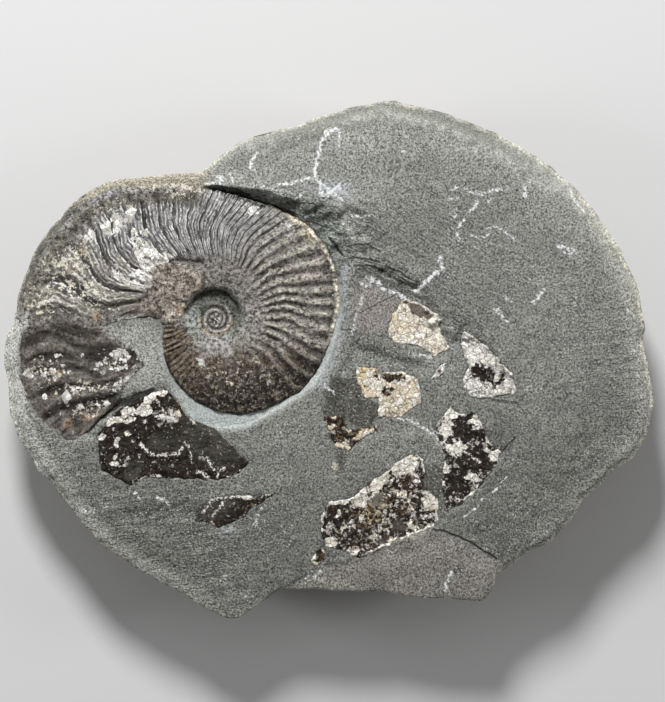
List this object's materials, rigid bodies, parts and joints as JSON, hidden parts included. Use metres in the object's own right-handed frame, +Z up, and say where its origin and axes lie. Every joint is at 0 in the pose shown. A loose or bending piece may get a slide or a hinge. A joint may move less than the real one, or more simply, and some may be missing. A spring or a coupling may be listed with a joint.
{
  "type": "ammonite fossil",
  "caption": "Ribbed ammonite fossil in half of a split grey limestone nodule, with pieces of a second flattened shell on the rock; lies face up.",
  "frame": {"origin": "on the resting plane under the middle of the slab's outline", "axes": "+Z up from the resting patch through the split face, +X along the slab's longer side with the coil towards -X"},
  "size_m": [0.1999, 0.1595, 0.0307],
  "materials": {
    "rock": "fine-grained matt limestone with buff weathered rims and thin white calcite veins",
    "fossil_shell": "dark grey-brown fossil shell, satin, with silvery and white calcite flecks",
    "cream_shell": "cream calcite, finely crazed, satin",
    "white_shell": "white and dark mottled calcite, crazed, satin",
    "dark_shell": "black-brown shell film with cream flecks, satin",
    "brown_shell": "brown shell with cream flecks, satin"
  },
  "bodies": {
    "root": {"matrix_slab": "rock", "ammonite": "fossil_shell", "shell_patch_below_coil": "dark_shell", "shell_patch_lower_left": "dark_shell", "shell_patch_cream_upper": "cream_shell", "shell_patch_cream_middle": "cream_shell", "shell_patch_brown_middle": "brown_shell", "shell_patch_white_right": "white_shell", "shell_patch_brown_right": "brown_shell", "shell_patch_long_lower": "dark_shell", "shell_chip_bottom": "dark_shell", "shell_chip_right": "dark_shell"}
  },
  "joints": []
}
